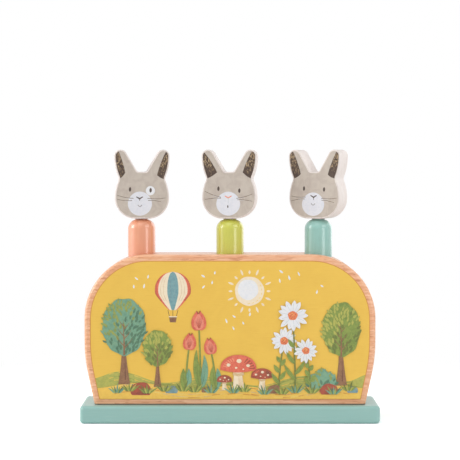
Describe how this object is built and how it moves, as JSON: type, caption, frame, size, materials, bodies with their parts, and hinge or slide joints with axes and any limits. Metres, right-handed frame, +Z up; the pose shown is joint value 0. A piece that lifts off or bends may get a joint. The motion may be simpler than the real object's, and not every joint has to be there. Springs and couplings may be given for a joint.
{
  "type": "pop up animal toy",
  "caption": "Wooden pop-up toy: rabbit-headed pegs stand on springs in a loaf-shaped block on a base board, and jump out when pressed down and let go.",
  "frame": {"origin": "centre of the base board's underside, on the surface the toy stands on", "axes": "+X along the row of pegs, to the right when the printed front is seen; -Y out of the printed front; +Z up, along the bores"},
  "size_m": [0.215, 0.06, 0.1963],
  "materials": {
    "beech": "smooth, lightly waxed",
    "base_paint": "satin paint on wood",
    "panel_ink": "printed ink on wood, matt",
    "head_paint": "satin cream paint on wood",
    "face_ink": "printed ink on wood, matt",
    "coral_lacquer": "glossy lacquer on wood",
    "lime_lacquer": "glossy lacquer on wood",
    "mint_lacquer": "glossy lacquer on wood",
    "spring_steel": "bright drawn wire",
    "screw_steel": "zinc plated"
  },
  "bodies": {
    "toy_body": {"base_board": "base_paint", "body_block": "beech", "front_print": "panel_ink", "back_print": "panel_ink", "base_screws": "screw_steel"},
    "coral_spring_body": {"coral_spring": "spring_steel"},
    "coral_cap_body": {"coral_spring_cap": "beech"},
    "coral_peg_body": {"coral_peg": "coral_lacquer", "coral_head": "head_paint", "coral_face_print": "face_ink", "coral_nape_print": "face_ink", "coral_neck_pin": "beech"},
    "lime_spring_body": {"lime_spring": "spring_steel"},
    "lime_cap_body": {"lime_spring_cap": "beech"},
    "lime_peg_body": {"lime_peg": "lime_lacquer", "lime_head": "head_paint", "lime_face_print": "face_ink", "lime_nape_print": "face_ink", "lime_neck_pin": "beech"},
    "mint_spring_body": {"mint_spring": "spring_steel"},
    "mint_cap_body": {"mint_spring_cap": "beech"},
    "mint_peg_body": {"mint_peg": "mint_lacquer", "mint_head": "head_paint", "mint_face_print": "face_ink", "mint_nape_print": "face_ink", "mint_neck_pin": "beech"}
  },
  "joints": [
    {"name": "coral_turn", "type": "hinge", "parent": "toy_body", "child": "coral_spring_body", "pos_m": [-0.0644, 0, 0.0129], "axis": [0, 0, 1], "continuous": true},
    {"name": "coral_press", "type": "slide", "parent": "coral_spring_body", "child": "coral_cap_body", "axis": [0, 0, 1], "range_m": [-0.0249, 0], "stiffness_N_per_m": 150, "springref_m": 0.0026, "deforming": ["coral_spring"]},
    {"name": "coral_pop", "type": "slide", "parent": "coral_cap_body", "child": "coral_peg_body", "axis": [0, 0, 1], "range_m": [0, 0.1]},
    {"name": "lime_turn", "type": "hinge", "parent": "toy_body", "child": "lime_spring_body", "pos_m": [0, 0, 0.0129], "axis": [0, 0, 1], "continuous": true},
    {"name": "lime_press", "type": "slide", "parent": "lime_spring_body", "child": "lime_cap_body", "axis": [0, 0, 1], "range_m": [-0.0249, 0], "stiffness_N_per_m": 150, "springref_m": 0.0026, "deforming": ["lime_spring"]},
    {"name": "lime_pop", "type": "slide", "parent": "lime_cap_body", "child": "lime_peg_body", "axis": [0, 0, 1], "range_m": [0, 0.1]},
    {"name": "mint_turn", "type": "hinge", "parent": "toy_body", "child": "mint_spring_body", "pos_m": [0.0644, 0, 0.0129], "axis": [0, 0, 1], "continuous": true},
    {"name": "mint_press", "type": "slide", "parent": "mint_spring_body", "child": "mint_cap_body", "axis": [0, 0, 1], "range_m": [-0.0249, 0], "stiffness_N_per_m": 150, "springref_m": 0.0026, "deforming": ["mint_spring"]},
    {"name": "mint_pop", "type": "slide", "parent": "mint_cap_body", "child": "mint_peg_body", "axis": [0, 0, 1], "range_m": [0, 0.1]}
  ]
}
